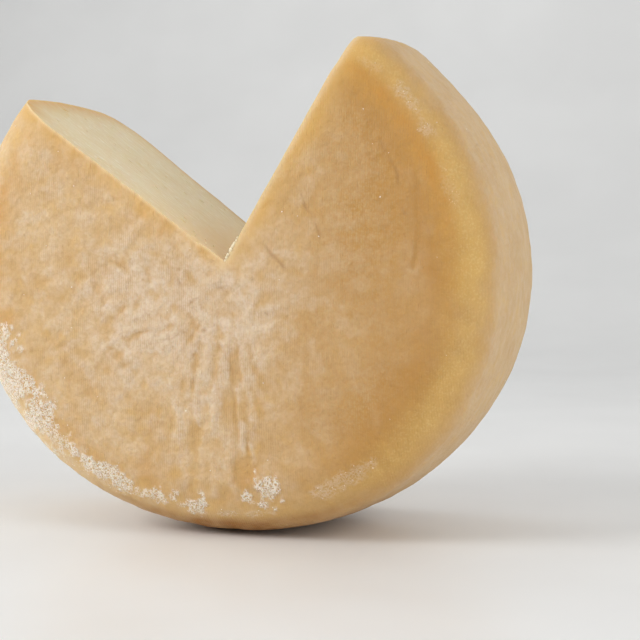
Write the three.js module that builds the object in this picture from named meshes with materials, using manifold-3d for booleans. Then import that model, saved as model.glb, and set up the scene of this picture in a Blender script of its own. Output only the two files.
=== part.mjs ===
// A wheel of hard table cheese that stands on its rim, with a V-shaped notch cut into its top.
// The wheel's axis lies along Y and its shown face looks towards -Y. The wheel lies in the XZ plane.
// Lengths are millimetres. Angles run round the axis from +X towards +Z.
import * as THREE from "three";
import { mergeVertices } from "three/addons/utils/BufferGeometryUtils.js";
import Module from "manifold-3d";

const degrees = THREE.MathUtils.degToRad;

// Driving dimensions of the wheel
const WHEEL_RADIUS = 135;
const WHEEL_THICKNESS = 125;
const CORNER_INTO_FACE = 25;
const CORNER_INTO_RIM = 22;
const RIM_BULGE = 6.4;
const FACE_CROWN = 2;

// How the wheel sagged out of round while it ripened
const SAG = 2.8;
const SAG_LONG_AXIS = degrees(-8);
const LOBE = 1.6;
const LOBE_AT = degrees(-43);
const TIP_DROP = 4.8;
const TIP_DROP_SPREAD = degrees(4.6);

// Shallow waves left by the mould and the cloth
const FACE_WAVE = 0.6;
const RIM_WAVE = 0.7;

// The notch: its two knife cuts meet close to the wheel's axis, and deeper at the back face
const CUT_LEFT = degrees(144.6);
const CUT_RIGHT = degrees(59.6);
const CUT_APEX_X = 8.4;
const CUT_APEX_Z = 2.2;
const DEEPER_BEHIND = 7.5;

// The rim is pressed flat where the wheel stands
const STAND_DEPTH = 0.9;

// How finely the surface is divided
const STEPS_ROUND = 120;
const STEPS_FACE = 11;
const STEPS_CORNER = 6;
const STEPS_RIM = 8;
const STEPS_CUT = 50;

const RIND_COLOUR = 0xcfb088;
const RIND_ROUGHNESS = 0.62;

const HALF = WHEEL_THICKNESS / 2;
const EDGE_RADIUS = WHEEL_RADIUS - RIM_BULGE;
const FACE_RADIUS = EDGE_RADIUS - CORNER_INTO_FACE;
const RIM_HALF = HALF - CORNER_INTO_RIM;

// How far the rim swells past the edge radius at a distance from the wheel's middle plane
function bulgeAt(y) {
  return RIM_BULGE * (1 - (y / HALF) ** 2);
}

// One half of the section, from the axis out over the face and the corner to the middle of the rim
function halfSection() {
  const points = [];
  for (let i = 0; i < STEPS_FACE; i++) {
    const out = i / STEPS_FACE;
    points.push(new THREE.Vector2(FACE_RADIUS * out, HALF + FACE_CROWN * (1 - out * out)));
  }
  for (let i = 0; i < STEPS_CORNER; i++) {
    const turn = (i / STEPS_CORNER) * (Math.PI / 2);
    const out = FACE_RADIUS + CORNER_INTO_FACE * Math.sin(turn);
    const y = RIM_HALF + CORNER_INTO_RIM * Math.cos(turn);
    points.push(new THREE.Vector2(out + bulgeAt(y), y));
  }
  for (let i = 0; i < STEPS_RIM / 2; i++) {
    const y = RIM_HALF * (1 - i / (STEPS_RIM / 2));
    points.push(new THREE.Vector2(EDGE_RADIUS + bulgeAt(y), y));
  }
  return points;
}

// The whole section, from the axis on the -Y face round the rim to the axis on the +Y face
function wholeSection() {
  const far = halfSection();
  const near = far.map((point) => new THREE.Vector2(point.x, -point.y));
  return [...near, new THREE.Vector2(WHEEL_RADIUS, 0), ...far.reverse()];
}

// The wheel's radius at an angle, as a share of the round radius
function outOfRound(angle) {
  const sag = SAG * Math.cos(2 * (angle - SAG_LONG_AXIS));
  const lobe = LOBE * Math.cos(3 * (angle - LOBE_AT));
  const fromTip = (angle - CUT_RIGHT) / TIP_DROP_SPREAD;
  const drop = TIP_DROP * Math.exp(-fromTip * fromTip);
  return 1 + (sag + lobe - drop) / WHEEL_RADIUS;
}

// A point of the true section, moved by the sag and the shallow waves
function unevenPoint(x, y, z) {
  const angle = Math.atan2(z, x);
  const out = Math.hypot(x, z) / WHEEL_RADIUS;
  const across = y / HALF;
  const rimWave = RIM_WAVE * across * Math.sin(4 * angle + 1.3) * out;
  const faceWave = FACE_WAVE * Math.sin(3 * angle + 5 * out) * out * across;
  const stretch = outOfRound(angle) + rimWave / WHEEL_RADIUS;
  return [x * stretch, y + faceWave, z * stretch];
}

function wheelGeometry() {
  const geometry = new THREE.LatheGeometry(wholeSection(), STEPS_ROUND);
  const position = geometry.getAttribute("position");
  for (let i = 0; i < position.count; i++) {
    position.setXYZ(i, ...unevenPoint(position.getX(i), position.getY(i), position.getZ(i)));
  }
  return geometry;
}

// The space of the notch as a prism that runs past both faces and past the rim. Towards the back face its
// apex goes deeper along the right cut, while the left cut still meets the rim in the same place.
function notchGeometry() {
  const reach = 2 * WHEEL_RADIUS;
  const depth = 2 * WHEEL_THICKNESS;
  const outline = new THREE.Shape();
  outline.moveTo(0, 0);
  for (const cut of [CUT_RIGHT, CUT_LEFT]) {
    outline.lineTo(reach * Math.cos(cut), reach * Math.sin(cut));
  }
  const prism = new THREE.ExtrudeGeometry(outline, { depth, steps: STEPS_CUT, bevelEnabled: false });
  prism.rotateX(Math.PI / 2).translate(0, depth / 2, 0);
  const position = prism.getAttribute("position");
  for (let i = 0; i < position.count; i++) {
    const [x, y, z] = [position.getX(i), position.getY(i), position.getZ(i)];
    const behind = (y + HALF) / WHEEL_THICKNESS;
    const deeper = DEEPER_BEHIND * behind * (1 - Math.hypot(x, z) / WHEEL_RADIUS);
    position.setXYZ(i, x - deeper * Math.cos(CUT_RIGHT), y, z - deeper * Math.sin(CUT_RIGHT));
  }
  return prism.translate(CUT_APEX_X, 0, CUT_APEX_Z);
}

// The block under the flat spot, whose top lies a little above the lowest point of the rim
function standGeometry(lowest) {
  const side = 4 * WHEEL_RADIUS;
  const top = lowest + STAND_DEPTH;
  return new THREE.BoxGeometry(side, side, side).translate(0, 0, top - side / 2);
}

const wasm = await Module();
wasm.setup();

function solidFrom(geometry) {
  const bare = geometry.clone();
  bare.deleteAttribute("normal");
  bare.deleteAttribute("uv");
  const merged = mergeVertices(bare);
  const vertProperties = merged.getAttribute("position").array;
  const triVerts = new Uint32Array(merged.index.array);
  return new wasm.Manifold(new wasm.Mesh({ numProp: 3, vertProperties, triVerts }));
}

function geometryFrom(solid) {
  const mesh = solid.getMesh();
  const geometry = new THREE.BufferGeometry();
  geometry.setAttribute("position", new THREE.BufferAttribute(mesh.vertProperties, 3));
  geometry.setIndex(new THREE.BufferAttribute(mesh.triVerts, 1));
  geometry.computeVertexNormals();
  return geometry;
}

// Moves a geometry so that its box is centred on the origin in X and Y and stands on Z = 0
function standOnOrigin(geometry) {
  geometry.computeBoundingBox();
  const centre = geometry.boundingBox.getCenter(new THREE.Vector3());
  return geometry.translate(-centre.x, -centre.y, -geometry.boundingBox.min.z);
}

function cheeseGeometry() {
  const wheel = wheelGeometry();
  wheel.computeBoundingBox();
  const stand = standGeometry(wheel.boundingBox.min.z);
  const cheese = solidFrom(wheel).subtract(solidFrom(notchGeometry())).subtract(solidFrom(stand));
  return standOnOrigin(geometryFrom(cheese));
}

const rind = new THREE.MeshStandardMaterial({
  color: RIND_COLOUR,
  roughness: RIND_ROUGHNESS,
  metalness: 0,
});

const cheeseWheel = new THREE.Mesh(cheeseGeometry(), rind);
cheeseWheel.name = "cheese_wheel";

const cheese = new THREE.Group();
cheese.add(cheeseWheel);

export default cheese;
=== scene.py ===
"""A wheel of hard table cheese that stands on its rim, with a V-shaped notch cut into its top.

The wheel's axis lies along Y and its shown face looks towards -Y. Shapes are worked out in millimetres in
the wheel's own frame, whose origin is the middle of the wheel, and are then put where the frame has it.
Angles run round the axis from +X towards +Z.
"""

from math import asin, ceil, cos, pi, radians, sin, sqrt

import bmesh
import bpy
import numpy as np
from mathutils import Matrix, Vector, geometry, noise
from numpy.linalg import norm


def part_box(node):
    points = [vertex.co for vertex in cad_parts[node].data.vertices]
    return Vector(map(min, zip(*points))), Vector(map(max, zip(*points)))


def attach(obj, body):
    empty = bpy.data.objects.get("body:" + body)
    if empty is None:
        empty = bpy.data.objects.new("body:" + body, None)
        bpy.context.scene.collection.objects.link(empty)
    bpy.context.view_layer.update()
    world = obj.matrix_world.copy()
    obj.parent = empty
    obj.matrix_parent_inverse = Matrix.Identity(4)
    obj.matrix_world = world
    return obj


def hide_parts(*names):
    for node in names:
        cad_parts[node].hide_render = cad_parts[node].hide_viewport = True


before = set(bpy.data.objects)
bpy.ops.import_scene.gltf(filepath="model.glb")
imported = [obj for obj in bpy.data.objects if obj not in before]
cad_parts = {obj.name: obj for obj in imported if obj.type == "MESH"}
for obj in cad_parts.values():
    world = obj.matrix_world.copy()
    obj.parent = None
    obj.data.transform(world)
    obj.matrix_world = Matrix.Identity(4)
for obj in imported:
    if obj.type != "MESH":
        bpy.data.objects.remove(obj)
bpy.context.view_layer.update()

MM = 0.001

# Driving dimensions of the wheel, as in the solid
WHEEL_RADIUS = 135.0
WHEEL_THICKNESS = 125.0
CORNER_INTO_FACE = 25.0
CORNER_INTO_RIM = 22.0
RIM_BULGE = 6.4
FACE_CROWN = 2.0
SAG = 2.8
SAG_LONG_AXIS = radians(-8)
LOBE = 1.6
LOBE_AT = radians(-43)
TIP_DROP = 4.8
TIP_DROP_SPREAD = radians(4.6)
FACE_WAVE = 0.6
RIM_WAVE = 0.7
CUT_LEFT = radians(144.6)
CUT_RIGHT = radians(59.6)
CUT_APEX = np.array([8.4, 2.2])
DEEPER_BEHIND = 7.5
STAND_DEPTH = 0.9

HALF = WHEEL_THICKNESS / 2
EDGE_RADIUS = WHEEL_RADIUS - RIM_BULGE
FACE_RADIUS = EDGE_RADIUS - CORNER_INTO_FACE
RIM_HALF = HALF - CORNER_INTO_RIM

# Distance between neighbouring points of the mesh
SHOWN_FACE_STEP = 0.9
SHOWN_CORNER_STEP = 1.2
RIM_STEP = 2.0
BACK_CORNER_STEP = 2.2
BACK_FACE_STEP = 2.4
CUT_STEP = 1.8
# Edges that turn by more than this are shaded as edges
SHARP_TURN = radians(40)


def limited(value):
    """Values kept from 0 to 1."""
    return np.clip(value, 0, 1)


def smooth(low, high, value):
    """0 below low, 1 above high and an even curve between. Low may be the larger of the two."""
    share = limited((value - low) / (high - low))
    return share * share * (3.0 - 2.0 * share)


def hump(middle, half_width, value):
    """1 at the middle, fading evenly on both sides."""
    return np.exp(-(((value - middle) / half_width) ** 2))


def angle_from(angle, middle):
    """How far angles are from a middle angle, from -pi to pi."""
    return (angle - middle + pi) % (2 * pi) - pi


def near_angle(angle, middle, half_width):
    """1 at the middle angle, fading evenly on both sides."""
    return hump(0.0, half_width, angle_from(angle, middle))


def noise_at(points, size, seed):
    """Smooth noise from about -1 to 1 at each point, with features of a size in millimetres."""
    shift = Vector((17.3 * seed, 5.7 * seed, 9.1 * seed))
    return np.array([noise.noise(Vector(point) / size + shift) for point in points])


# The wheel's form

def bulge_at(y):
    return RIM_BULGE * (1.0 - (y / HALF) ** 2)


def half_section(face_step, corner_step):
    """Radius and distance from the middle plane of each ring, from the axis to near the rim's middle."""
    face_count = ceil(FACE_RADIUS / face_step)
    out = np.arange(face_count) / face_count
    face = np.stack([FACE_RADIUS * out, HALF + FACE_CROWN * (1.0 - out**2)], 1)
    corner_length = pi / 2 * sqrt((CORNER_INTO_FACE**2 + CORNER_INTO_RIM**2) / 2)
    corner_count = ceil(corner_length / corner_step)
    turn = np.arange(corner_count) / corner_count * pi / 2
    y = RIM_HALF + CORNER_INTO_RIM * np.cos(turn)
    corner = np.stack([FACE_RADIUS + CORNER_INTO_FACE * np.sin(turn) + bulge_at(y), y], 1)
    rim_count = ceil(RIM_HALF / RIM_STEP)
    y = RIM_HALF * (1.0 - np.arange(rim_count) / rim_count)
    rim = np.stack([EDGE_RADIUS + bulge_at(y), y], 1)
    steps = np.repeat([face_step, corner_step, RIM_STEP], [face_count, corner_count, rim_count])
    return np.concatenate([face, corner, rim]), steps


def whole_section():
    """The rings from the shown face's centre round the rim to the back face's centre, and their steps."""
    shown, shown_steps = half_section(SHOWN_FACE_STEP, SHOWN_CORNER_STEP)
    back, back_steps = half_section(BACK_FACE_STEP, BACK_CORNER_STEP)
    middle = np.array([[WHEEL_RADIUS, 0.0]])
    section = np.concatenate([shown * (1.0, -1.0), middle, back[::-1]])
    return section, np.concatenate([shown_steps, [RIM_STEP], back_steps[::-1]])


def out_of_round(angle):
    """The wheel's radius at an angle, as a share of the round radius."""
    sag = SAG * np.cos(2 * (angle - SAG_LONG_AXIS))
    lobe = LOBE * np.cos(3 * (angle - LOBE_AT))
    drop = TIP_DROP * near_angle(angle, CUT_RIGHT, TIP_DROP_SPREAD)
    return 1.0 + (sag + lobe - drop) / WHEEL_RADIUS


def apex_at(y):
    """Where the two cuts meet at a distance along Y: further down the right cut towards the back face."""
    deeper = DEEPER_BEHIND * (y + HALF) / WHEEL_THICKNESS
    return CUT_APEX - deeper[:, None] * (cos(CUT_RIGHT), sin(CUT_RIGHT))


def rim_angle(cut):
    """The angle from the wheel's middle at which a cut through the apex meets the rim."""
    beside = cos(cut) * CUT_APEX[1] - sin(cut) * CUT_APEX[0]
    return cut + asin(beside / WHEEL_RADIUS)


FIRST_ANGLE = rim_angle(CUT_LEFT)
LAST_ANGLE = rim_angle(CUT_RIGHT) + 2 * pi


class Rind:
    """The points of the rind, ring by ring, each ring running from the left cut round to the right one."""

    def __init__(self):
        section, steps = whole_section()
        tangent = np.gradient(section, axis=0)
        tangent /= norm(tangent, axis=1)[:, None]
        span = LAST_ANGLE - FIRST_ANGLE
        self.counts = np.maximum(np.ceil(span * section[:, 0] / steps).astype(int), 1)
        self.counts[[0, -1]] = 0
        self.starts = np.concatenate([[0], np.cumsum(self.counts + 1)])
        ring = np.repeat(np.arange(len(section)), self.counts + 1)
        place = np.arange(self.starts[-1]) - self.starts[ring]
        share = place / np.maximum(self.counts[ring], 1)
        self.angle = FIRST_ANGLE + span * share
        self.radius = section[ring, 0]
        self.y = section[ring, 1]
        along = np.stack([np.cos(self.angle), np.sin(self.angle)], 1)
        out_normal, y_normal = tangent[ring, 1], -tangent[ring, 0]
        self.normals = np.stack([out_normal * along[:, 0], y_normal, out_normal * along[:, 1]], 1)
        self.points = self.form(along)

    def form(self, along):
        """The smooth form: the section swept round, sagged and waved, with its rays drawn to the apex."""
        out = self.radius / WHEEL_RADIUS
        across = self.y / HALF
        rim_wave = RIM_WAVE * across * np.sin(4 * self.angle + 1.3) * out
        face_wave = FACE_WAVE * np.sin(3 * self.angle + 5 * out) * out * across
        stretch = out_of_round(self.angle) + rim_wave / WHEEL_RADIUS
        flat = apex_at(self.y) * (1.0 - out)[:, None] + along * (self.radius * stretch)[:, None]
        return np.stack([flat[:, 0], self.y + face_wave, flat[:, 1]], 1)

    def triangles(self):
        """Triangles between each pair of neighbouring rings, whose points need not be as many."""
        made = []
        for a, b, n, m in zip(self.starts[:-2], self.starts[1:-1], self.counts[:-1], self.counts[1:]):
            i = j = 0
            while i < n or j < m:
                if j == m or (i < n and (i + 1) * m <= (j + 1) * n):
                    made.append((a + i, a + i + 1, b + j))
                    i += 1
                else:
                    made.append((a + i, b + j + 1, b + j))
                    j += 1
        return made

    def cut_edge(self, last):
        """The points of every ring that lie on the left cut, or on the right one if last."""
        return self.starts[:-1] + (self.counts if last else 0)


# Where the knife went

# Along a cut, where its nearness starts and where it is full
APEX_FADE = (-6.0, 2.0)


class Cut:
    """One cut from the apex to the rim. It is laid out flat by the way out from the apex, and by Y."""

    def __init__(self, angle, turn):
        self.along = np.array([cos(angle), sin(angle)])
        self.outward = turn * np.array([-self.along[1], self.along[0]])
        self.sinks = apex_at(np.array([-HALF, HALF])) @ self.outward

    def flat(self, points):
        """Distance from the apex and Y of points in the wheel's frame."""
        y = points[:, 1]
        return np.stack([(points[:, [0, 2]] - apex_at(y)) @ self.along, y], 1)

    def rise(self, flat):
        """How far the cut lies off a plane, as it sinks at the back of the apex and not at the rim."""
        sunk = (self.sinks[0] - self.sinks[1]) * (flat[:, 1] + HALF) / WHEEL_THICKNESS
        return sunk * flat[:, 0] / WHEEL_RADIUS

    def solid(self, flat):
        """Points in the wheel's frame of points that are laid out flat."""
        xz = apex_at(flat[:, 1]) + flat[:, :1] * self.along + self.rise(flat)[:, None] * self.outward
        return np.stack([xz[:, 0], flat[:, 1], xz[:, 1]], 1)

    def nearness(self, points, reach):
        """1 on the cut, fading to nothing over a reach into the cheese, and 0 past the apex."""
        flat = self.flat(points)
        behind = self.rise(flat) - (points[:, [0, 2]] - apex_at(points[:, 1])) @ self.outward
        return hump(0.0, reach, behind) * smooth(*APEX_FADE, flat[:, 0])


LEFT_CUT = Cut(CUT_LEFT, -1)
RIGHT_CUT = Cut(CUT_RIGHT, 1)
CUTS = (LEFT_CUT, RIGHT_CUT)


# Relief of the rind, in millimetres

FAN_MIDDLE = radians(-88)
FAN_HALF = radians(24)
FOLD_ANGLE = radians(5.5)
FOLD_LENGTH = 48.0
FOLD_START = (16.0, 46.0)
FOLD_END = (126.0, 102.0)
FOLD_SHARPNESS = 0.3
FOLD_HEIGHT = 0.9
SWELL_HEIGHT = 0.6
NET_HEIGHT = 0.7
NET_ROUNDING = 0.003
CRUMPLED_SIDE = (60.0, -40.0)
HAZE_MIDDLE = np.array([-10.0, -22.0])
HAZE_REACH = np.array([54.0, 45.0])
FURROW_RADIUS = 114.0
FURROW_WIDTH = 5.5
FURROW_DEPTH = 0.4
WRINKLE_DEPTH = 0.55
WRINKLE_WIDTH = 1.5
BANK_HEIGHT = 0.3
BANK_WIDTH = 5.0
RIDGE_HEIGHT = 0.52
RIDGE_WIDTH = 1.5
WOBBLE = 1.6
CRACK_DEPTH = 0.35
CRACK_WIDTH = 0.8
PIT_DEPTH = 0.5
TOP_HEIGHT = 0.45
# The rim by the right cut: full at the tip, then a little flattened, with the cut leaning into the notch
TIP_FILL = 0.7
TIP_FILL_AT = radians(53.5)
TIP_FILL_SPREAD = radians(3)
SHOULDER_DIP = 1.3
SHOULDER_AT = radians(39)
SHOULDER_SPREAD = radians(12)
SHOULDER_RISE = (100.0, 122.0)
TIP_LEAN = 2.8
TIP_LEAN_RISE = (105.0, 124.0)
TIP_ROUNDING = 1.9
TIP_ROUNDING_REACH = 6.0
ROUNDING_RISE = (112.0, 130.0)

# Single wrinkles of the shown face, each a few points of X and Z
WRINKLES = [
    [(6.1, -37.9), (10.5, -47.1), (12.6, -55.0), (13.8, -65.8), (12.7, -82.9), (14.2, -104.0)],
    [(-7.4, -41.2), (-6.7, -51.3), (-9.1, -63.2)],
    [(-59.1, -50.9), (-54.0, -43.0), (-46.5, -36.0), (-40.2, -33.0), (-30.8, -31.4), (-18.0, -28.5)],
    [(-45.6, -48.0), (-39.3, -45.9)],
    [(18.3, -72.0), (18.6, -86.0)],
    [(-102.2, -45.1), (-85.9, -41.2), (-74.2, -37.5)],
    [(97.5, 50.0), (99.7, 39.5), (100.3, 28.2), (100.3, 17.0), (99.9, 7.9), (98.5, 0.5)],
]
# Single ridges of the shown face, each a few points of X and Z
RIDGES = [
    [(-17.3, -62.0), (-16.0, -72.0), (-15.5, -84.9), (-15.0, -95.0)],
    [(-6.6, -58.0), (-7.1, -67.9), (-5.4, -75.0)],
    [(4.0, -56.0), (2.0, -62.0), (2.5, -68.8), (2.9, -76.0)],
    [(14.0, -58.0), (15.4, -70.0), (16.0, -82.0), (16.6, -95.0), (18.2, -101.0)],
    [(20.3, -84.0), (21.6, -95.4), (22.5, -102.0)],
    [(-48.1, -34.1), (-41.7, -31.1), (-29.7, -29.2), (-22.0, -27.9)],
]
# Fine cracks of the shown face, each a few points of X and Z
CRACKS = [
    [(45.2, 33.1), (48.1, 27.5), (51.5, 20.7), (54.9, 13.8)],
    [(26.8, 10.1), (30.7, 6.8), (34.6, 3.1), (39.0, -1.0)],
    [(82.5, 57.7), (85.3, 52.2), (88.1, 47.2), (90.5, 43.1), (91.9, 37.7)],
    [(84.6, 19.2), (86.0, 16.5)],
    [(93.8, 27.3), (94.8, 24.6)],
    [(5.5, -10.6), (7.5, -10.2)],
    [(-9.6, -17.1), (-7.2, -16.5)],
    [(-14.8, -6.0), (-14.4, -9.5)],
]
# Small pits of the shown face: X, Z and radius
PITS = [(6.8, -10.0, 1.2), (22.0, -6.0, 1.0), (-15.0, -1.5, 0.9), (29.0, -22.0, 1.0), (-2.0, -30.0, 0.9)]

# Tints of the rind

# The right side of the faces is warmer and darker: partly its own colour, partly painted shade as the light
# falls off
WARM_AND_SHADED_SIDE = (-5.0, 95.0)
DUST_EDGE = (114.0, 92.0)
DUST_SIDE = (130.0, 60.0)
BARE_EDGE = (60.0, 100.0)
GOLD_TURN = radians(37)
GOLD_SPREAD = radians(23)
GOLD_MIDDLE = radians(15)
GOLD_HALF = radians(65)
# A painted band of light lies on the lower left corner of the shown face
LIT_CORNER_MIDDLE = radians(-143)
LIT_CORNER_HALF = radians(24)
# Where the furrow is most orange: middle and half angle in degrees, and strength
FURROW_GLOW = [(34, 32, 0.95), (172, 20, 0.7), (-140, 14, 0.4)]
# Orange patches of the shown face: X, Z, radius and strength
ORANGE_PATCHES = [
    (-35.3, 25.0, 5.5, 0.6), (-24.0, 18.0, 5.0, 0.6), (-94.7, -58.2, 4.5, 0.8), (-108.0, -27.5, 6.0, 0.8),
    (-75.3, -80.1, 8.0, 0.5), (-31.9, -97.7, 9.0, 0.45), (20.0, -99.2, 7.0, 0.4), (60.0, 92.0, 10.0, 0.35),
    (-68.0, 55.0, 16.0, 0.25), (-97.0, -56.0, 3.0, 0.9), (-91.0, -70.0, 3.0, 0.7),
]
# Painted light on the pale edges at the cuts: reach for the left and right cut
EDGE_LIGHT_REACH = (1.0, 2.2)
# Painted light through the rind behind the cuts: reach and strength for the left and right cut
THROUGH_LIGHT_REACH = (7.0, 9.0)
THROUGH_LIGHT_STRENGTH = (0.55, 0.85)
BLOOM_FADE = radians(2)
BLOOM_RAGGED = 0.8
# White bloom of each face: first and last angle in degrees, radius, half width and thickness of growth
SHOWN_BLOOM = [
    (-166, -139, 120.0, 13.0, 1.0), (-140, -131, 122.0, 9.0, 0.6), (-136, -112, 124.0, 3.5, 0.35),
    (-134, -111, 110.5, 4.0, 0.2), (-131, -112, 118.6, 5.0, 0.9), (-112, -97, 119.5, 3.5, 0.6),
    (-107, -98.5, 116.3, 5.5, 0.9), (-98, -91, 117.0, 6.2, 0.9), (-97, -76, 122.3, 1.6, 0.4),
    (-83.5, -79.5, 112.0, 4.0, 0.9), (-79, -72, 110.0, 9.0, 1.0), (-67, -48, 118.0, 4.5, 0.38),
    (13, 23, 118.7, 3.0, 0.35), (29, 44, 121.5, 3.5, 0.38), (47, 53.5, 120.4, 3.0, 0.38),
]
BACK_BLOOM = [
    (-158, -122, 119.0, 6.0, 0.9), (-151, -136, 111.0, 5.0, 0.7), (-106, -90, 118.0, 3.0, 0.45),
    (-64, -24, 120.0, 6.0, 0.9), (-52, -38, 112.0, 5.0, 0.7), (6, 38, 118.0, 4.0, 0.5),
]
# Painted shade and a painted reflection of the floor make the rim darker and browner low down, where it
# stands
UNDER_SHADE_MIDDLE = radians(-90)
UNDER_SHADE_HALF = radians(28)
UNDER_SHADE_STRENGTH = 0.85
TINTS = (
    "haze", "region", "valley", "warm_and_shaded", "dust", "gold", "orange", "under", "edge", "through_light", "crease_shade",
    "mottled", "whitened",
)


def distance_to_line(points, line):
    """Distance of flat points to a line of straight stretches."""
    line = np.asarray(line, float)
    start, stretch = line[:-1], np.diff(line, axis=0)
    off = points[:, None, :] - start[None]
    share = limited((off * stretch).sum(2) / (stretch**2).sum(1))
    return norm(off - share[..., None] * stretch, axis=2).min(1)


def distance_to_lines(points, lines):
    """Distance of flat points to the nearest of several lines."""
    return np.min([distance_to_line(points, line) for line in lines], axis=0)


class Weathering:
    """The relief of every point of the rind, and how much of each tint it has."""

    def __init__(self, rind):
        self.points = rind.points
        self.x = rind.points[:, 0]
        self.xz = rind.points[:, [0, 2]]
        self.radius = rind.radius
        self.angle = rind.angle
        self.shown = limited(-rind.normals[:, 1])
        self.back = limited(rind.normals[:, 1])
        self.faces = self.shown + self.back
        self.turn = np.arccos(limited(self.faces))
        self.cloudy = self.noise(32.0, 9)
        self.uneven = self.noise(9.0, 26) + 0.5 * self.noise(4.0, 27)
        self.find_haze_region()
        self.fold()
        self.crumple()
        self.wrinkle()
        self.crack()
        self.tint_sides()
        self.tint_gold()
        self.tint_orange()
        self.tint_haze()
        self.tint_edges()
        self.grow_bloom()
        lumps = 0.35 * self.noise(16.0, 1) + 0.16 * self.noise(6.0, 2)
        furrow = FURROW_DEPTH * hump(FURROW_RADIUS, FURROW_WIDTH, self.radius) * self.faces
        self.height = lumps + self.relief + self.shoulder() - furrow - self.crack_depth

    def noise(self, size, seed):
        """Smooth noise at every point, with features of a size in millimetres."""
        return noise_at(self.points, size, seed)

    def find_haze_region(self):
        """Where the middle of each face carries pale haze."""
        off = (self.xz - HAZE_MIDDLE) / HAZE_REACH
        near = 1.0 - smooth(0.3, 1.25, norm(off, axis=1) + 0.35 * self.noise(24.0, 3))
        self.region = near * self.faces

    def fold(self):
        """Narrow radial folds, highest in a fan below the middle."""
        from_fan = angle_from(self.angle, FAN_MIDDLE)
        sway = 0.9 * self.noise(26.0, 4)
        place = np.stack([from_fan / FOLD_ANGLE + sway, self.radius / FOLD_LENGTH, self.back * 9.0], 1)
        ridge = hump(0.0, FOLD_SHARPNESS, noise_at(place, 1.0, 5))
        reach = smooth(*FOLD_START, self.radius) * smooth(*FOLD_END, self.radius)
        patchy = np.clip(0.7 + 0.9 * self.noise(21.0, 12), 0.0, 1.3)
        self.fan = (hump(0.0, FAN_HALF, from_fan) + 0.2) * patchy * reach * self.faces
        self.relief = FOLD_HEIGHT * (ridge - 0.4) * self.fan

    def crumple(self):
        """Soft swells, liveliest in the haze, with short thin creases here and there between them."""
        swell = self.noise(7.0, 6) + 0.5 * self.noise(3.6, 13)
        net = np.sqrt((self.noise(9.0, 7) + 0.3 * self.noise(3.5, 21)) ** 2 + NET_ROUNDING)
        left_side = smooth(*CRUMPLED_SIDE, self.x) * self.faces
        strength = 0.25 + 0.45 * left_side + 0.35 * self.region
        self.relief += (SWELL_HEIGHT * swell + NET_HEIGHT * (net - 0.28)) * strength
        broken = smooth(-0.05, 0.25, self.noise(13.0, 14))
        # Painted shade darkens the thin creases
        self.crease_shade = 0.5 * smooth(0.1, 0.05, net) * broken * self.region

    def wrinkle(self):
        """Single ridges of the shown face, and wrinkles, which are a soft valley between two low banks."""
        self.wobbly = self.xz + WOBBLE * np.stack([self.noise(8.0, 15), self.noise(8.0, 16)], 1)
        strength = np.clip(0.7 + 0.9 * self.noise(12.0, 17), 0.1, 1.0) * self.shown
        off = distance_to_lines(self.wobbly, WRINKLES)
        valley = hump(0.0, WRINKLE_WIDTH, off) * strength
        bank = hump(0.0, BANK_WIDTH, off) * strength
        self.ridge = hump(0.0, RIDGE_WIDTH, distance_to_lines(self.wobbly, RIDGES)) * strength
        self.relief += BANK_HEIGHT * bank - WRINKLE_DEPTH * valley + RIDGE_HEIGHT * self.ridge
        # The wrinkle valleys get painted shade too
        self.crease_shade += 0.3 * valley

    def crack(self):
        """Cracks and pits of the shown face, darkened with painted shade."""
        strength = limited(0.6 + 1.1 * self.noise(6.0, 18)) * self.shown
        cracked = hump(0.0, CRACK_WIDTH, distance_to_lines(self.wobbly, CRACKS)) * strength
        self.crack_depth = CRACK_DEPTH * cracked
        for x, z, radius in PITS:
            pit = hump(0.0, radius, norm(self.xz - (x, z), axis=1)) * self.shown
            self.crack_depth = np.maximum(self.crack_depth, PIT_DEPTH * pit)
            cracked = np.maximum(cracked, pit)
        self.crease_shade = limited(self.crease_shade + cracked)

    def shoulder(self):
        """How the rim by the right cut departs from the round form."""
        full = TIP_FILL * near_angle(self.angle, TIP_FILL_AT, TIP_FILL_SPREAD)
        dip = SHOULDER_DIP * near_angle(self.angle, SHOULDER_AT, SHOULDER_SPREAD)
        rounded = TIP_ROUNDING * RIGHT_CUT.nearness(self.points, TIP_ROUNDING_REACH)
        rounded *= smooth(*ROUNDING_RISE, self.radius)
        return (full - dip) * smooth(*SHOULDER_RISE, self.radius) - rounded

    def tint_sides(self):
        """The warmer, darker right side of both faces, partly its own colour and partly painted shade, with
        its dust, and the painted light on the lower left corner.
        """
        self.warm_and_shaded = limited(smooth(*WARM_AND_SHADED_SIDE, self.x) * (1.0 + 0.5 * self.cloudy) * self.faces)
        self.dust = self.warm_and_shaded * smooth(*DUST_EDGE, self.radius) * smooth(*DUST_SIDE, self.x)
        on_corner = smooth(0.95, 0.6, self.shown) * smooth(0.0, 0.2, self.shown)
        self.painted_lit_corner = near_angle(self.angle, LIT_CORNER_MIDDLE, LIT_CORNER_HALF) * on_corner

    def tint_gold(self):
        """Golden corners, and painted shade and floor reflection that make the rim browner below."""
        golden_side = 0.5 + 0.5 * near_angle(self.angle, GOLD_MIDDLE, GOLD_HALF) - 0.4 * self.painted_lit_corner
        golden = hump(GOLD_TURN, GOLD_SPREAD, self.turn) * golden_side
        self.gold = limited(golden * (0.9 + 0.4 * self.cloudy + 0.35 * self.uneven))
        self.mottled = self.faces * (1.0 - 0.8 * self.gold)
        # Painted shade and floor reflection on the rim low down
        below = near_angle(self.angle, UNDER_SHADE_MIDDLE, UNDER_SHADE_HALF) * smooth(0.82, 0.6, self.faces)
        self.under = limited(UNDER_SHADE_STRENGTH * below * (1.0 + 0.4 * self.uneven))

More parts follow.
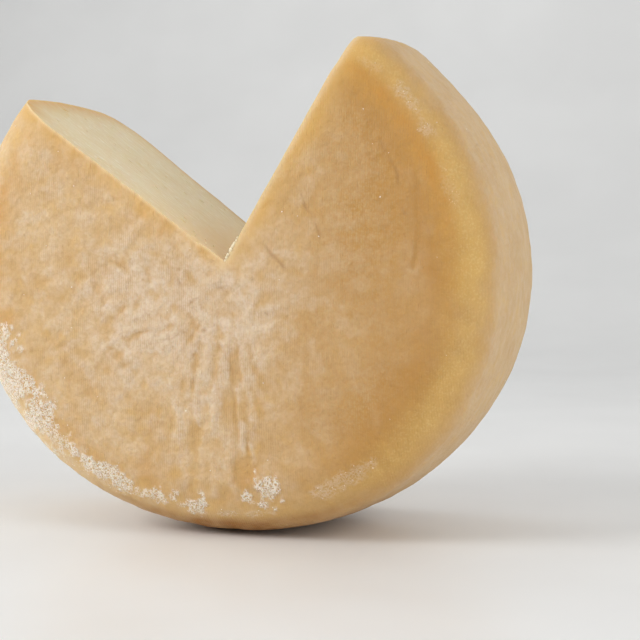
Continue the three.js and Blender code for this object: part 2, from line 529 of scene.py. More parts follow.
    def tint_orange(self):
        """The orange furrow and patches."""
        lively = np.full(len(self.points), 0.12)
        for *place, strength in FURROW_GLOW:
            lively += strength * near_angle(self.angle, *np.radians(place))
        self.orange = hump(FURROW_RADIUS, FURROW_WIDTH, self.radius) * self.faces * lively
        for x, z, radius, strength in ORANGE_PATCHES:
            off = norm(self.wobbly - (x, z), axis=1)
            self.orange = np.maximum(self.orange, strength * hump(0.0, radius, off) * self.shown)
        self.orange = limited(self.orange * (1.0 + 0.5 * self.uneven))

    def tint_haze(self):
        """Pale haze in patches and on the rim, with paler haze on the tops of the relief and ridges as a
        painted highlight, and the valleys free of it and darkened as painted shade.
        """
        tops = np.clip(self.relief / TOP_HEIGHT, -1.0, 1.0)
        folded = limited(0.35 + self.region + self.fan) * self.faces
        self.valley = limited(-tops) * folded
        patches = smooth(-0.12, 0.22, self.noise(10.0, 22) + 0.5 * self.noise(4.0, 25))
        spread = (0.25 + 0.25 * self.cloudy + 0.35 * patches) * (1.0 - 0.5 * self.warm_and_shaded) - 0.2 * self.fan
        spread *= 1.0 - self.warm_and_shaded * smooth(*BARE_EDGE, self.radius)
        on_faces = spread + self.region * (0.25 + 0.4 * patches) + 0.55 * tops * folded + 0.5 * self.ridge
        bands = np.stack([self.points[:, 1] / 7.0, 2.0 * np.cos(self.angle), 2.0 * np.sin(self.angle)], 1)
        on_rim = (0.28 + 0.12 * self.cloudy + 0.1 * noise_at(bands, 1.0, 19)) * smooth(0.7, 0.1, self.faces)
        self.haze = limited(on_faces * self.faces + on_rim)
        self.haze *= 1.0 - 0.8 * np.maximum(self.orange, 0.7 * self.gold)

    def tint_edges(self):
        """Painted light: pale edges at the cuts and a pale band on the lower left corner, and a golden band
        of light through the rind behind the cuts.
        """
        patchy = 1.0 + 0.6 * self.noise(17.0, 8)
        # The lower left corner's painted light takes the pale edge tint
        self.edge = 0.8 * self.painted_lit_corner
        self.through_light = np.zeros(len(self.points))
        for cut, edge_reach, through_light_reach, strength in zip(CUTS, EDGE_LIGHT_REACH, THROUGH_LIGHT_REACH, THROUGH_LIGHT_STRENGTH):
            self.edge = np.maximum(self.edge, cut.nearness(self.points, edge_reach))
            self.through_light = np.maximum(self.through_light, strength * cut.nearness(self.points, through_light_reach) * patchy)

    def grow_bloom(self):
        """White bloom in patches."""
        self.bloom = np.zeros(len(self.points))
        ragged = self.noise(9.0, 10) + 0.7 * self.noise(3.5, 11) + 0.5 * self.noise(1.8, 20)
        for patches, side in ((SHOWN_BLOOM, self.shown), (BACK_BLOOM, self.back)):
            for first, last, radius, half_width, growth in patches:
                middle, half_angle = radians((first + last) / 2), radians((last - first) / 2)
                beside = np.abs(angle_from(self.angle, middle)) - half_angle
                ends = smooth(BLOOM_FADE, -BLOOM_FADE, beside)
                near = hump(radius, half_width, self.radius) * ends * smooth(0.0, 0.5, side)
                grown = growth * smooth(0.35, 0.85, near + BLOOM_RAGGED * ragged * smooth(0.02, 0.3, near))
                self.bloom = np.maximum(self.bloom, grown)
        self.whitened = smooth(0.18, 0.8, self.bloom) * (1.0 - 0.6 * smooth(0.45, 0.85, self.gold))


# The cut paste

EYES_ON_A_CUT = 60
EYE_LONG = (0.45, 1.7)
EYE_NARROW = (0.4, 0.75)
EYE_DEPTH = 0.9
EYE_CLEAR_OF_RIND = 7.0
EYE_CLEAR_OF_APEX = 32.0
EYES_APART = 7.0
EYE_LEAST = 0.4
EYE_LEAN = 0.4
# Rings of points at an eye, and the gap round them, as shares of its outline
EYE_RINGS = (0.4, 0.75, 0.93, 1.07, 1.4)
EYE_GAP = 0.25
EYE_POINTS = 12
STREAK_HEIGHT = 0.16
WANDER = 0.5
WANDER_RISE = (4.0, 20.0)
WANDER_REACH = 8.0
# Lengths along the cut and widths of the streaks, and of the bends of the knife's path
FINE_STREAK = (70.0, 1.6)
BROAD_STREAK = (90.0, 6.0)
BEND = (38.0, 45.0)
GRID_STRAY = 0.15
# The grid of points on a cut, as shares of its step: between rows, and clear of the edge
GRID_ROW = 0.87
GRID_CLEAR = 0.6
UNDER_RIM_REACH = 8.5
UNDER_BACK_REACH = 4.5
# Reach of the painted light through the paste by the front face's edge
FRONT_LIGHT_REACH = 3.0
BUTTER_REACH = 15.0
PASTE_TINTS = ("under_rind", "front", "butter", "from_apex")
# Chips off the left cut's front edge: distance from the apex, reach and depth
CHIPS = [(17.9, 2.4, 1.1), (64.0, 1.6, 0.6)]


def inside_loop(points, loop):
    """Which flat points lie inside a closed loop."""
    x, y = points[:, :1], points[:, 1:]
    start, end = loop, np.roll(loop, -1, 0)
    crosses = (start[:, 1] > y) != (end[:, 1] > y)
    rise = np.where(np.abs(end[:, 1] - start[:, 1]) < 1e-9, 1e-9, end[:, 1] - start[:, 1])
    crossing = start[:, 0] + (y - start[:, 1]) / rise * (end[:, 0] - start[:, 0])
    return (crosses & (x < crossing)).sum(1) % 2 == 1


def distance_to_loop(points, loop):
    """Distance of flat points to a closed loop."""
    return distance_to_line(points, np.concatenate([loop, loop[:1]]))


def flat_noise(flat, length, width, seed):
    """Noise over a cut that is laid out flat, with features of a length and a width in millimetres."""
    place = np.stack([flat[:, 0] / length, flat[:, 1] / width, np.zeros(len(flat))], 1)
    return noise_at(place, 1.0, seed)


class Eye:
    """A small irregular hole in the paste, longer than it is wide."""

    def __init__(self, centre, random):
        self.centre = centre
        self.half_long = random.uniform(*EYE_LONG) ** 1.3
        self.half_wide = max(EYE_LEAST, self.half_long * random.uniform(*EYE_NARROW))
        lean = random.normal(0.0, EYE_LEAN)
        self.along = np.array([cos(lean), sin(lean)])
        self.beside = np.array([-self.along[1], self.along[0]])
        self.phase = random.uniform(0.0, 2 * pi)
        self.depth = EYE_DEPTH * self.half_wide

    def shape(self, turn):
        """How the outline strays from an oval."""
        return 1.0 + 0.18 * np.sin(2 * turn + self.phase) + 0.12 * np.sin(3 * turn + 2 * self.phase)

    def rings(self):
        """Points in rings about the centre, closest together at the hole's lip."""
        turn = np.arange(EYE_POINTS) / EYE_POINTS * 2 * pi
        outline = np.outer(self.half_long * np.cos(turn) * self.shape(turn), self.along)
        outline += np.outer(self.half_wide * np.sin(turn) * self.shape(turn), self.beside)
        rings = [self.centre + share * outline for share in EYE_RINGS]
        return np.concatenate([[self.centre], *rings])

    def reach(self, points):
        """Distance from the centre, where 1 is the hole's lip."""
        off = points - self.centre
        u, v = off @ self.along / self.half_long, off @ self.beside / self.half_wide
        return np.hypot(u, v) / self.shape(np.arctan2(v, u))


def scatter_eyes(loop, random):
    """Eyes well inside the loop and clear of each other."""
    eyes = []
    low, high = loop.min(0), loop.max(0)
    while len(eyes) < EYES_ON_A_CUT:
        centre = random.uniform(low, high)
        apart = all(norm(centre - eye.centre) > EYES_APART for eye in eyes)
        inside = centre[0] > EYE_CLEAR_OF_APEX and inside_loop(centre[None], loop)[0]
        if apart and inside and distance_to_loop(centre[None], loop)[0] > EYE_CLEAR_OF_RIND:
            eyes.append(Eye(centre, random))
    return eyes


def cut_points(loop, eyes, random):
    """Points inside the loop: a slightly uneven grid, and rings of points at each eye."""
    low, high = loop.min(0), loop.max(0)
    rows = np.arange(low[1], high[1], CUT_STEP * GRID_ROW)
    columns = np.arange(low[0], high[0], CUT_STEP)
    grid = np.array([(x + CUT_STEP / 2 * (i % 2), y) for i, y in enumerate(rows) for x in columns])
    grid += random.uniform(-GRID_STRAY, GRID_STRAY, grid.shape)
    grid = grid[inside_loop(grid, loop)]
    grid = grid[distance_to_loop(grid, loop) > CUT_STEP * GRID_CLEAR]
    for eye in eyes:
        grid = grid[eye.reach(grid) > EYE_RINGS[-1] + EYE_GAP]
    return np.concatenate([grid] + [eye.rings() for eye in eyes])


def cut_relief(flat, loop, eyes, seed):
    """Height of the cut paste: fine knife streaks that run out from the apex, and the eyes."""
    streaks = flat_noise(flat, *FINE_STREAK, seed) + flat_noise(flat, *BROAD_STREAK, seed + 1)
    height = STREAK_HEIGHT * streaks * smooth(0.3, 3.0, distance_to_loop(flat, loop))
    for eye in eyes:
        height -= eye.depth * np.sqrt(limited(1.0 - eye.reach(flat) ** 2))
    return height


def fill_loop(loop, inner):
    """Triangles over a closed loop of points and points inside it, numbered loop first."""
    count = len(loop)
    border = [(i, (i + 1) % count) for i in range(count)]
    flat = [Vector(point) for point in np.concatenate([loop, inner])]
    made = geometry.delaunay_2d_cdt(flat, border, [], 1, 1e-7)
    faces, origins = made[2], made[3]
    return [[origins[corner][0] for corner in face] for face in faces]


def knife_wander(points):
    """Moves points by the cuts, so that the knife's path is not quite straight, and chips the front edge."""
    moved = points.copy()
    for cut, seed in zip(CUTS, (21, 22)):
        flat = cut.flat(points)
        path = WANDER * flat_noise(flat, *BEND, seed) * smooth(*WANDER_RISE, flat[:, 0])
        if cut is RIGHT_CUT:
            path += TIP_LEAN * smooth(*TIP_LEAN_RISE, flat[:, 0])
        moved[:, [0, 2]] += (path * cut.nearness(points, WANDER_REACH))[:, None] * cut.outward
    for from_apex, reach, depth in CHIPS:
        place = LEFT_CUT.solid(np.array([[from_apex, -HALF - FACE_CROWN]]))
        sunk = depth * hump(0.0, reach, norm(points - place, axis=1))
        moved[:, [0, 2]] -= sunk[:, None] * LEFT_CUT.outward
        moved[:, 1] += 0.5 * sunk
    return moved


# Building the wheel

def add_object(name, data):
    made = bpy.data.objects.new(name, data)
    bpy.context.scene.collection.objects.link(made)
    return made


def add_mesh(name, points, triangles, materials):
    """A mesh object of points in metres, shaded smooth."""
    mesh = bpy.data.meshes.new(name)
    mesh.from_pydata(points.tolist(), [], triangles)
    for material in materials:
        mesh.materials.append(material)
    mesh.shade_smooth()
    return add_object(name, mesh)


def add_attribute(mesh, name, values):
    attribute = mesh.attributes.new(name, "FLOAT", "POINT")
    attribute.data.foreach_set("value", np.asarray(values, np.float32))


def place_in_frame(form):
    """The shift from the wheel's own frame to the part's, which makes the form fill the solid's box."""
    low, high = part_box("cheese_wheel")
    middle = (np.array(low) + np.array(high)) / 2 / MM
    shift = middle - (form.min(0) + form.max(0)) / 2
    shift[2] = low.z / MM - form[:, 2].min() - STAND_DEPTH
    return shift


class Wheel:
    """The whole cheese as one closed mesh of rind and two cuts."""

    def __init__(self, rind, weathering):
        self.points = rind.points + rind.normals * weathering.height[:, None]
        self.rind_triangles = rind.triangles()
        self.cut_triangles = []
        self.paste = np.zeros((len(self.points), len(PASTE_TINTS)))
        self.add_apex_line(rind)
        self.add_cut(rind, LEFT_CUT, last=False, seed=31)
        self.add_cut(rind, RIGHT_CUT, last=True, seed=41)
        self.points = knife_wander(self.points)

    def add_points(self, points):
        """Adds points of the paste and gives back their numbers."""
        first = len(self.points)
        self.points = np.concatenate([self.points, points])
        self.paste = np.concatenate([self.paste, np.zeros((len(points), len(PASTE_TINTS)))])
        return np.arange(first, len(self.points))

    def add_apex_line(self, rind):
        """Points along the line in which the two cuts meet, from the back face to the shown one."""
        start, end = self.points[rind.starts[-2]], self.points[0]
        count = ceil(norm(end - start) / CUT_STEP)
        share = (np.arange(1, count) / count)[:, None]
        self.apex_ids = self.add_points(start + share * (end - start))

    def add_cut(self, rind, cut, last, seed):
        """One cut's paste, sewn to the rind's edge and to the apex line."""
        random = np.random.default_rng(seed)
        edge_ids = rind.cut_edge(last)
        border_ids = np.concatenate([edge_ids, self.apex_ids])
        loop = cut.flat(self.points[border_ids])
        eyes = scatter_eyes(loop, random)
        inner = cut_points(loop, eyes, random)
        height = cut_relief(inner, loop, eyes, seed)
        solid = cut.solid(inner)
        solid[:, [0, 2]] += height[:, None] * cut.outward
        ids = np.concatenate([border_ids, self.add_points(solid)])
        self.cut_triangles += [ids[face].tolist() for face in fill_loop(loop, inner)]
        facing = rind.normals[edge_ids, 1]
        edge = loop[: len(edge_ids)]
        lines = [edge[facing < -0.7], edge[np.abs(facing) <= 0.75], edge[facing > 0.7]]
        self.tint_paste(ids, np.concatenate([loop, inner]), lines)

    def tint_paste(self, ids, flat, lines):
        """Tints of the paste by its distance from the lines of the front face, the rim and the back."""
        from_lines = [distance_to_line(flat, line) for line in lines]
        from_front, from_rim, from_back = from_lines
        under_rim = hump(0.0, UNDER_RIM_REACH, from_rim)
        under_rind = np.maximum(under_rim, hump(0.0, UNDER_BACK_REACH, from_back))
        # The paste by the front edge gets painted light
        front = hump(0.0, FRONT_LIGHT_REACH, from_front) * (1.0 - under_rim)
        butter = hump(0.0, BUTTER_REACH, np.min(from_lines, axis=0))
        self.paste[ids] = np.stack([under_rind, front, butter, flat[:, 0] * MM], 1)

    def build(self, shift, weathering, materials):
        points = self.points + shift
        points[:, 2] = np.maximum(points[:, 2], 0.0)
        triangles = self.rind_triangles + self.cut_triangles
        piece = add_mesh("cheese_wheel_dressed", points * MM, triangles, materials)
        mesh = piece.data
        on_cut = [0] * len(self.rind_triangles) + [1] * len(self.cut_triangles)
        mesh.polygons.foreach_set("material_index", on_cut)
        no_rind = np.zeros(len(self.points) - len(weathering.height))
        for name in TINTS:
            add_attribute(mesh, name, np.concatenate([getattr(weathering, name), no_rind]))
        for name, values in zip(PASTE_TINTS, self.paste.T):
            add_attribute(mesh, name, values)
        shaped = bmesh.new()
        shaped.from_mesh(mesh)
        bmesh.ops.recalc_face_normals(shaped, faces=shaped.faces)
        shaped.to_mesh(mesh)
        shaped.free()
        mesh.set_sharp_from_angle(angle=SHARP_TURN)
        return piece


# Loose grains

GRAIN_RADIUS = (0.2, 0.55)
GRAINS_PER_POINT = 2.4
GRAIN_SPREAD = 0.7
GRAIN_UNEVEN = 0.3
GRAIN_STRETCH = (0.65, 1.3)
CLUMP_SIZE = 2.2
CLUMP_LEVEL = -0.08
LEAST_BLOOM = 0.02
SPECK_RADIUS = (0.25, 0.45)
SPECKS = 30
# Single white specks of the shown face: X, Z
PLACED_SPECKS = [
    (-77.9, 54.7), (-93.1, 34.1), (-85.1, 8.9), (-48.7, -74.6), (35.6, 25.3), (54.9, 13.8), (-96.8, -14.1),
    (-74.0, -77.0), (-70.1, -9.4), (107.2, 65.5),
]
CRUMBS = 28
CRUMB_RADIUS = (0.15, 0.4)
CRUMB_REACH = 26.0
CRUMB_INSET = 3.0
CRUMBS_ON_LEFT = 0.6
CRUMB_PROUD = 0.6
EDGE_CRUMBS = 60
EDGE_CRUMB_RADIUS = (0.2, 0.85)
EDGE_CRUMB_REACH = 13.0
EDGE_CRUMB_BAND = 2.0
BLOOM_SEED, CRUMB_SEED = 5, 9

CRYSTAL = (
    np.array([(1, 0, 0), (0, 1, 0), (-1, 0, 0), (0, -1, 0), (0, 0, 1), (0, 0, -1)], float),
    np.array([(0, 1, 4), (1, 2, 4), (2, 3, 4), (3, 0, 4), (1, 0, 5), (2, 1, 5), (3, 2, 5), (0, 3, 5)]),
)


def crumb_form():
    """The corners and faces of a ball of eighty triangles."""
    ball = bmesh.new()
    bmesh.ops.create_icosphere(ball, subdivisions=2, radius=1.0)
    corners = np.array([corner.co for corner in ball.verts])
    faces = np.array([[corner.index for corner in face.verts] for face in ball.faces])
    ball.free()
    return corners, faces


def random_turns(count, random):
    """Evenly spread random rotations, as matrices."""
    turns = np.linalg.qr(random.normal(size=(count, 3, 3)))[0]
    return turns * np.sign(np.linalg.det(turns))[:, None, None]


def add_grains(name, form, centres, radii, material, seed):
    """One mesh of many small uneven grains, in metres."""
    random = np.random.default_rng(seed)
    corners, faces = form
    count = len(centres)
    uneven = 1.0 + random.uniform(-GRAIN_UNEVEN, GRAIN_UNEVEN, (count, len(corners), 1))
    stretch = random.uniform(*GRAIN_STRETCH, (count, 1, 3))
    turned = (corners * uneven * stretch) @ random_turns(count, random)
    points = centres[:, None, :] + turned * radii[:, None, None]
    triangles = faces + (np.arange(count) * len(corners))[:, None, None]
    return add_mesh(name, points.reshape(-1, 3), triangles.reshape(-1, 3).tolist(), [material])


def nearest_shown(points, normals, place):
    """The point of the shown face closest to a place given by X and Z."""
    off = norm(points[:, [0, 2]] - place, axis=1)
    return int(np.argmin(np.where(normals[:, 1] < -0.3, off, np.inf)))


def bloom_places(points, normals, bloom):
    """Centres and radii of grains where the bloom grows, and of single specks, and the points they are at."""
    random = np.random.default_rng(BLOOM_SEED)
    grown = np.floor(GRAINS_PER_POINT * bloom**2 + random.uniform(0.0, 1.0, len(bloom))).astype(int)
    grains = np.repeat(np.arange(len(bloom)), np.where(bloom > LEAST_BLOOM, grown, 0))
    scattered = random.choice(len(points), SPECKS, replace=False)
    placed = [nearest_shown(points, normals, place) for place in PLACED_SPECKS]
    ids = np.concatenate([grains, scattered, placed])
    grain_radii = random.uniform(*GRAIN_RADIUS, len(grains)) * (0.55 + 0.45 * bloom[grains])
    speck_radii = random.uniform(*SPECK_RADIUS, len(ids) - len(grains))
    radii = np.concatenate([grain_radii, speck_radii])
    stray = random.uniform(-GRAIN_SPREAD, GRAIN_SPREAD, (len(ids), 3))
    stray -= (stray * normals[ids]).sum(1)[:, None] * normals[ids]
    centres = points[ids] + stray
    clumped = noise_at(centres, CLUMP_SIZE, 23) + 0.5 * noise_at(centres, CLUMP_SIZE / 2, 24) > CLUMP_LEVEL
    kept = clumped | (np.arange(len(ids)) >= len(grains))
    return centres[kept], radii[kept], ids[kept]


def crumb_places():
    """Centres and radii of crumbs low in the notch, and along the front edge of the right cut by the apex."""
    random = np.random.default_rng(CRUMB_SEED)
    reach = CRUMB_REACH * random.uniform(0.0, 1.0, CRUMBS) ** 2.2
    y = -HALF + CRUMB_INSET + (WHEEL_THICKNESS - 2 * CRUMB_INSET) * random.uniform(0.0, 1.0, CRUMBS) ** 1.5
    edge_reach = EDGE_CRUMB_REACH * random.uniform(0.05, 1.0, EDGE_CRUMBS) ** 1.3
    edge_y = -HALF - FACE_CROWN + random.uniform(0.0, EDGE_CRUMB_BAND, EDGE_CRUMBS)
    flat = np.stack([np.concatenate([reach, edge_reach]), np.concatenate([y, edge_y])], 1)
    crumb_radii = random.uniform(*CRUMB_RADIUS, CRUMBS)
    small, large = EDGE_CRUMB_RADIUS
    edge_radii = small + (large - small) * random.uniform(0.0, 1.0, EDGE_CRUMBS) ** 1.5
    radii = np.concatenate([crumb_radii, edge_radii])
    on_left = (random.uniform(0.0, 1.0, len(flat)) < CRUMBS_ON_LEFT) & (np.arange(len(flat)) < CRUMBS)
    places = np.where(on_left[:, None], LEFT_CUT.solid(flat), RIGHT_CUT.solid(flat))
    outward = np.where(on_left[:, None], LEFT_CUT.outward, RIGHT_CUT.outward)
    places[:, [0, 2]] += CRUMB_PROUD * radii[:, None] * outward
    return places, radii


# Materials

# Numbers of the colour sockets of a mix node
COLOUR_A, COLOUR_B, COLOUR_OUT = 6, 7, 2


def srgb(red, green, blue):
    """A linear colour from screen values of 0 to 255."""
    def linear(value):
        share = value / 255
        return share / 12.92 if share <= 0.04045 else ((share + 0.055) / 1.055) ** 2.4
    return (linear(red), linear(green), linear(blue), 1.0)


class Paint:
    """Adds shader nodes to one material, whose colour is laid on layer by layer."""

    def __init__(self, name, colour):
        self.material = bpy.data.materials.new(name)
        self.material.use_nodes = True
        self.tree = self.material.node_tree
        self.place = self.node("TexCoord").outputs["Object"]
        self.colour = colour

    def plug(self, socket, value):
        """Links a socket to another one, or sets it to a value."""
        if isinstance(value, bpy.types.NodeSocket):
            self.tree.links.new(value, socket)
        else:
            socket.default_value = value

    def fill(self, node, values):
        """Plugs values into a node's sockets, named with _ for a space."""
        for name, value in values.items():
            self.plug(node.inputs[name.replace("_", " ")], value)

    def node(self, kind, **values):
        node = self.tree.nodes.new("ShaderNode" + kind)
        self.fill(node, values)
        return node

    def finish(self, **values):
        """Sets the shader's own sockets."""
        self.fill(self.tree.nodes["Principled BSDF"], {"Base_Color": self.colour, **values})
        return self.material

    def attribute(self, name):
        node = self.node("Attribute")
        node.attribute_name = name
        return node.outputs["Fac"]

    def noise(self, size, detail=3.0, roughness=0.55):
        """Noise from 0 to 1 with features of a size in millimetres."""
        scale = 1.0 / (size * MM)
        node = self.node("TexNoise", Vector=self.place, Scale=scale, Detail=detail, Roughness=roughness)
        return node.outputs["Fac"]

    def streaks(self, length, width):
        """Noise in streaks that run out from the apex of the cuts, from 0 to 1."""
        out = self.times(self.attribute("from_apex"), 1.0 / (length * MM))
        across = self.times(self.node("SeparateXYZ", Vector=self.place).outputs["Y"], 1.0 / (width * MM))
        joined = self.node("CombineXYZ", X=out, Y=across).outputs["Vector"]
        return self.node("TexNoise", Vector=joined, Scale=1.0, Detail=4.0).outputs["Fac"]

    def threads(self, period, distortion):
        """Fine upright lines a period apart, in millimetres."""
        node = self.node("TexWave", Vector=self.place, Distortion=distortion, Detail=2.0, Detail_Scale=1.2)
        node.inputs["Scale"].default_value = 2 * pi / (20.0 * period * MM)
        node.bands_direction = "X"
        return node.outputs["Fac"]

    def lace(self, size):
        """A net of thin crooked strands, 1 in their middle and 0 in the gaps."""
        off = self.math("SUBTRACT", self.noise(size, detail=2.0, roughness=0.6), 0.5)
        return self.between(self.times(off, off), 0.009, 0.0015)

    def math(self, operation, first, second):
        node = self.node("Math")
        node.operation = operation
        self.plug(node.inputs[0], first)
        self.plug(node.inputs[1], second)
        return node.outputs[0]

    def times(self, first, second):
        return self.math("MULTIPLY", first, second)

    def between(self, value, low, high, least=0.0, most=1.0):
        """Least below low, most above high, and an even curve between."""
        node = self.node("MapRange", Value=value, From_Min=low, From_Max=high, To_Min=least, To_Max=most)
        node.interpolation_type = "SMOOTHSTEP"
        return node.outputs["Result"]

    def uneven(self, size, least, most, detail=3.0):
        """Values from least to most, in patches of a size in millimetres."""
        return self.between(self.noise(size, detail), 0.3, 0.7, least, most)

    def layer(self, colour, share):
        """Lays a colour over what is there, by a share."""
        node = self.node("Mix")
        node.data_type = "RGBA"
        self.plug(node.inputs["Factor"], share)
        self.plug(node.inputs[COLOUR_A], self.colour)
        self.plug(node.inputs[COLOUR_B], colour)
        self.colour = node.outputs[COLOUR_OUT]

    def tint(self, colour, name, share=None):
        """Lays a colour over what is there by an attribute, or by that times a share."""
        strength = self.attribute(name)
        self.layer(colour, strength if share is None else self.times(strength, share))

    def bump(self, height, depth, under=None):
        """A bump of a depth in millimetres, over another bump if one is given."""
        node = self.node("Bump", Height=height, Distance=depth * MM)
        if under:
            self.plug(node.inputs["Normal"], under)
        return node.outputs["Normal"]


TAN = srgb(218, 184, 135)
WARM_AND_SHADED_TINT = srgb(190, 139, 70)
TOASTED = srgb(203, 163, 110)
HAZE = srgb(226, 204, 175)
PALE_HAZE = srgb(228, 209, 187)
VALLEY_SHADE = srgb(206, 165, 106)
DUST = srgb(203, 174, 127)
PAINTED_UNDER_SHADE = srgb(168, 117, 62)
SPECKLE = srgb(186, 144, 92)
GOLD = srgb(223, 182, 108)
PALE_GOLD = srgb(236, 208, 146)
ORANGE = srgb(207, 152, 74)
PAINTED_CREASE_SHADE = srgb(166, 122, 76)
PAINTED_EDGE_LIGHT = srgb(236, 212, 168)
PAINTED_THROUGH_LIGHT = srgb(222, 176, 100)
BLOOM = srgb(255, 246, 232)
BLOOM_SKIN = srgb(255, 244, 229)
SHADED_BLOOM = srgb(248, 230, 208)
HONEY_BLOOM = srgb(242, 212, 156)
IVORY = srgb(240, 225, 190)
BUTTER = srgb(230, 206, 156)
UNDER_RIND = srgb(220, 170, 92)
APEX_PASTE = srgb(228, 194, 142)
CRUMB = srgb(253, 239, 206)
FLECK = srgb(252, 242, 218)
FLOOR = srgb(243, 244, 244)
SHADED_FLOOR = srgb(238, 239, 239)


def rind_material():
    paint = Paint("rind", TAN)
    paint.layer(TOASTED, paint.between(paint.noise(24.0, detail=4.0), 0.4, 0.7, most=0.5))
    paint.layer(GOLD, paint.between(paint.noise(9.0), 0.5, 0.7, most=0.45))
    # Partly the rind's own colour, partly painted shade on the right side
    paint.tint(WARM_AND_SHADED_TINT, "warm_and_shaded")
    threads = paint.threads(1.1, 2.2)
    dusty = paint.between(paint.noise(1.5, roughness=0.6), 0.3, 0.74, most=0.82)
    paint.tint(DUST, "dust", paint.times(dusty, paint.between(threads, 0.0, 1.0, least=0.5)))
    paint.tint(GOLD, "gold", 0.9)
    paint.tint(PALE_GOLD, "gold", paint.between(paint.noise(1.1), 0.48, 0.66, most=0.4))
    paint.tint(ORANGE, "orange")
    blotches = paint.noise(5.0, detail=4.0, roughness=0.6)
    paint.tint(HAZE, "haze", paint.between(blotches, 0.34, 0.64, least=0.5))
    paint.tint(PALE_HAZE, "region", 0.46)
    # Painted shade in the valleys of the relief
    paint.tint(VALLEY_SHADE, "valley", 0.6)
    paint.tint(SPECKLE, "mottled", paint.between(paint.noise(2.0, roughness=0.6), 0.36, 0.7, most=0.3))
    woven = paint.times(threads, paint.between(paint.noise(14.0), 0.4, 0.65, most=0.3))
    paint.tint(SPECKLE, "mottled", woven)
    # Painted shade and floor reflection, browner low on the rim
    paint.tint(PAINTED_UNDER_SHADE, "under")
    # Painted shade in the creases, cracks and pits
    paint.tint(PAINTED_CREASE_SHADE, "crease_shade", 0.5)
    # Painted light through the rind behind the cuts
    paint.tint(PAINTED_THROUGH_LIGHT, "through_light", 0.9)
    # Painted light on the pale edges at the cuts and on the lower left corner
    paint.tint(PAINTED_EDGE_LIGHT, "edge", 0.8)
    grainy = paint.between(paint.lace(1.5), 0.0, 1.0, least=0.06, most=0.95)
    paint.tint(BLOOM_SKIN, "whitened", grainy)
    skin = paint.bump(paint.noise(4.5, detail=4.0), 1.4)
    cloth = paint.bump(threads, 0.08, skin)
    return paint.finish(
        Roughness=paint.uneven(6.0, 0.5, 0.7, detail=4.0),
        Normal=paint.bump(paint.times(grainy, paint.attribute("whitened")), 0.4, cloth),
        Specular_IOR_Level=0.3,
        Subsurface_Weight=0.25,
        Subsurface_Radius=(1.0, 0.6, 0.28),
        Subsurface_Scale=3.0 * MM,
    )


def paste_material():
    paint = Paint("paste", IVORY)
    paint.layer(BUTTER, paint.between(paint.noise(22.0), 0.35, 0.7, most=0.35))
    paint.tint(BUTTER, "butter", 0.7)
    paint.layer(FLECK, paint.between(paint.streaks(6.0, 1.4), 0.54, 0.66, most=0.8))
    paint.tint(UNDER_RIND, "under_rind", 0.9)
    # Painted light through the paste by the front face's edge
    paint.tint(PAINTED_EDGE_LIGHT, "front", 0.4)
    paint.layer(APEX_PASTE, paint.between(paint.attribute("from_apex"), 55.0 * MM, 5.0 * MM, most=0.8))
    streaks = paint.streaks(30.0, 1.3)
    paint.layer(BUTTER, paint.between(streaks, 0.4, 0.7, most=0.7))
    curdy = paint.bump(paint.noise(1.6, detail=5.0, roughness=0.6), 0.16)
    return paint.finish(
        Roughness=paint.uneven(4.0, 0.42, 0.58),
        Normal=paint.bump(streaks, 0.12, curdy),
        Specular_IOR_Level=0.4,
        Subsurface_Weight=0.45,
        Subsurface_Radius=(1.0, 0.65, 0.3),
        Subsurface_Scale=6.0 * MM,
    )


def bloom_material():
    paint = Paint("bloom", BLOOM)
    paint.layer(SHADED_BLOOM, paint.between(paint.noise(1.5), 0.35, 0.65))
    paint.layer(HONEY_BLOOM, paint.between(paint.attribute("gold"), 0.45, 0.85, most=0.8))
    return paint.finish(
        Roughness=paint.uneven(0.6, 0.75, 0.95),
        Normal=paint.bump(paint.noise(0.4), 0.1),
        Specular_IOR_Level=0.2,
    )


def crumb_material():
    paint = Paint("crumb", CRUMB)
    paint.layer(IVORY, paint.between(paint.noise(1.2), 0.35, 0.65))
    return paint.finish(Roughness=paint.uneven(0.8, 0.5, 0.7), Normal=paint.bump(paint.noise(0.5), 0.15))


def floor_material():
    paint = Paint("floor", FLOOR)
    paint.layer(SHADED_FLOOR, paint.uneven(240.0, 0.0, 1.0))
    return paint.finish(Roughness=paint.uneven(90.0, 0.3, 0.4), Specular_IOR_Level=0.3)


# Stage, lights and camera

FLOOR_FRONT = -2.6
WALL_AT = 1.9
WALL_BEND = 0.9
WALL_HEIGHT = 3.2
BEND_STEPS = 24
STAGE_HALF = 4.0


def add_stage():
    """A pale floor that bends up into a wall."""
    bend = [pi / 2 * i / BEND_STEPS for i in range(BEND_STEPS + 1)]
    line = [(FLOOR_FRONT, 0.0)]
    line += [(WALL_AT - WALL_BEND + WALL_BEND * sin(t), WALL_BEND * (1 - cos(t))) for t in bend]
    line += [(WALL_AT, WALL_HEIGHT)]
    points = np.array([(x, y, z) for y, z in line for x in (-STAGE_HALF, STAGE_HALF)])
    strips = [(2 * i, 2 * i + 1, 2 * i + 3, 2 * i + 2) for i in range(len(line) - 1)]
    add_mesh("stage_floor", points, strips, [floor_material()])


def add_softbox(name, position, target, width, spread, power, colour):
    lamp = bpy.data.lights.new(name, "AREA")
    lamp.shape = "SQUARE"
    lamp.size = width
    lamp.spread = radians(spread)
    lamp.energy = power
    lamp.color = colour
    holder = add_object(name, lamp)
    holder.location = position
    holder.rotation_euler = (Vector(target) - Vector(position)).to_track_quat("-Z", "Y").to_euler()


AMBIENT = 0.27
AMBIENT_COLOUR = (1.0, 0.99, 0.98, 1.0)
WARM_WHITE = (1.0, 0.99, 0.975)
WHITE = (1.0, 0.995, 0.985)
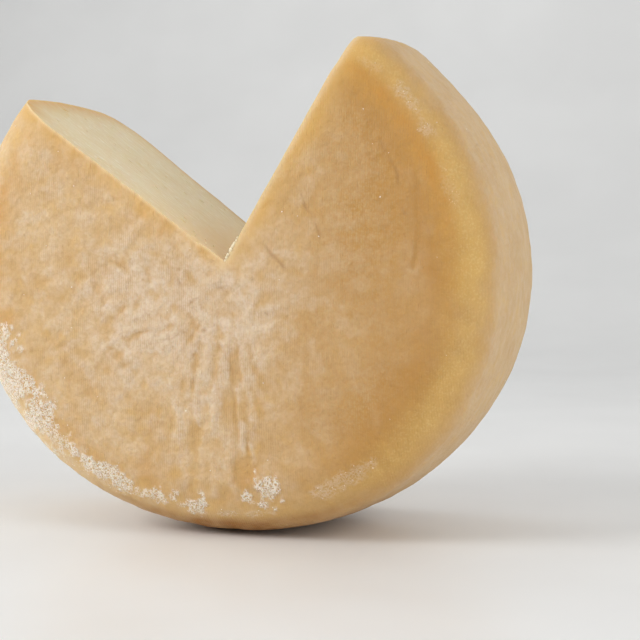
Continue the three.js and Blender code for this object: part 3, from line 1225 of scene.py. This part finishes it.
# Softboxes: name, place and aim from the wheel's centre, width, spread in degrees, power and colour
SOFTBOXES = [
    ("key", (-1.25, -0.9, 0.7), (0.0, 0.0, 0.0), 0.8, 180, 18.4, WARM_WHITE),
    ("fill", (1.5, -0.7, 0.6), (0.0, 0.0, 0.0), 1.2, 180, 13.0, WHITE),
    ("top", (0.1, 0.1, 1.7), (0.0, 0.0, 0.0), 2.0, 180, 7.2, WHITE),
    ("side", (-1.4, 0.6, 0.3), (0.0, 0.0, 0.0), 0.9, 80, 1.0, WHITE),
    ("wall", (-0.9, 0.8, 1.9), (-0.3, 1.9, 0.4), 1.2, 150, 3.5, WHITE),
]


def add_lights(centre):
    world = bpy.data.worlds.new("studio")
    world.use_nodes = True
    ambient = world.node_tree.nodes["Background"]
    ambient.inputs["Color"].default_value = AMBIENT_COLOUR
    ambient.inputs["Strength"].default_value = AMBIENT
    bpy.context.scene.world = world
    for name, place, aim, width, spread, power, colour in SOFTBOXES:
        add_softbox(name, centre + Vector(place), centre + Vector(aim), width, spread, power, colour)
    bpy.context.scene.view_settings.view_transform = "Standard"


CAMERA_FROM_CENTRE = Vector((281.3, -785.7, 14.9)) * MM
CAMERA_YAW = radians(17.42)
CAMERA_DOWN = radians(2.97)
LENS = 92.6
SENSOR = 36.0


def add_camera(centre):
    data = bpy.data.cameras.new("camera")
    data.lens = LENS
    data.sensor_width = SENSOR
    camera = add_object("camera", data)
    camera.location = centre + CAMERA_FROM_CENTRE
    camera.rotation_euler = (pi / 2 - CAMERA_DOWN, 0.0, CAMERA_YAW)
    bpy.context.scene.camera = camera


def add_cheese():
    rind = Rind()
    weathering = Weathering(rind)
    shift = place_in_frame(rind.points)
    wheel = Wheel(rind, weathering)
    dressed = wheel.build(shift, weathering, [rind_material(), paste_material()])
    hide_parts("cheese_wheel")
    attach(dressed, "root")
    surface = wheel.points[: len(rind.points)]
    centres, radii, ids = bloom_places(surface, rind.normals, weathering.bloom)
    grains = add_grains("bloom_grains", CRYSTAL, (centres + shift) * MM, radii * MM, bloom_material(), 11)
    add_attribute(grains.data, "gold", np.repeat(weathering.gold[ids], len(CRYSTAL[0])))
    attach(grains, "root")
    places, radii = crumb_places()
    crumbs = add_grains("notch_crumbs", crumb_form(), (places + shift) * MM, radii * MM, crumb_material(), 12)
    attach(crumbs, "root")
    return Vector(shift * MM)


wheel_centre = add_cheese()
add_stage()
add_lights(wheel_centre)
add_camera(wheel_centre)
